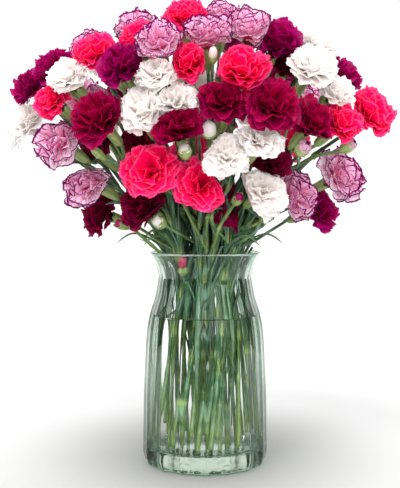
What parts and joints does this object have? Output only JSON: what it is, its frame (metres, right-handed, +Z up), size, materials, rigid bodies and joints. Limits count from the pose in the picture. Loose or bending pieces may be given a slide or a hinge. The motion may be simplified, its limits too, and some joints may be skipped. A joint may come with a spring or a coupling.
{
  "type": "carnations in a vase",
  "caption": "Bouquet of spray carnations standing in a ribbed clear glass vase of water.",
  "frame": {"origin": "the middle of the vase's foot, on the surface it stands on", "axes": "+Z up along the vase's axis; -Y towards the bouquet's front; +X to the right as seen from the front"},
  "size_m": [0.3583, 0.2153, 0.4335],
  "materials": {
    "glass": "clear pale green pressed glass",
    "water": "clear water",
    "stem": null,
    "petal_white": null,
    "petal_picotee": null,
    "petal_purple": null,
    "petal_red": null
  },
  "bodies": {
    "root": {"bloom_picotee_01": "petal_picotee", "bloom_picotee_02": "petal_picotee", "bloom_picotee_03": "petal_picotee", "bloom_picotee_04": "petal_picotee", "bloom_picotee_05": "petal_picotee", "bloom_picotee_06": "petal_picotee", "bloom_picotee_07": "petal_picotee", "bloom_picotee_08": "petal_picotee", "bloom_picotee_09": "petal_picotee", "bloom_picotee_10": "petal_picotee", "bloom_picotee_11": "petal_picotee", "bloom_purple_01": "petal_purple", "bloom_purple_02": "petal_purple", "bloom_purple_03": "petal_purple", "bloom_purple_04": "petal_purple", "bloom_purple_05": "petal_purple", "bloom_purple_06": "petal_purple", "bloom_purple_07": "petal_purple", "bloom_purple_08": "petal_purple", "bloom_purple_09": "petal_purple", "bloom_purple_10": "petal_purple", "bloom_purple_11": "petal_purple", "bloom_purple_12": "petal_purple", "bloom_purple_13": "petal_purple", "bloom_purple_14": "petal_purple", "bloom_purple_15": "petal_purple", "bloom_purple_16": "petal_purple", "bloom_purple_17": "petal_purple", "bloom_red_01": "petal_red", "bloom_red_02": "petal_red", "bloom_red_03": "petal_red", "bloom_red_04": "petal_red", "bloom_red_05": "petal_red", "bloom_red_06": "petal_red", "bloom_red_07": "petal_red", "bloom_red_08": "petal_red", "bloom_red_09": "petal_red", "bloom_red_10": "petal_red", "bloom_white_01": "petal_white", "bloom_white_02": "petal_white", "bloom_white_03": "petal_white", "bloom_white_04": "petal_white", "bloom_white_05": "petal_white", "bloom_white_06": "petal_white", "bloom_white_07": "petal_white", "bloom_white_08": "petal_white", "bloom_white_09": "petal_white", "bloom_white_10": "petal_white", "stems_centre": "stem", "stems_centre_left": "stem", "stems_centre_right": "stem", "stems_left": "stem", "stems_lower_left": "stem", "stems_right": "stem", "stems_top": "stem", "stems_upper_left": "stem", "stems_upper_right": "stem", "vase": "glass", "water": "water"}
  },
  "joints": []
}
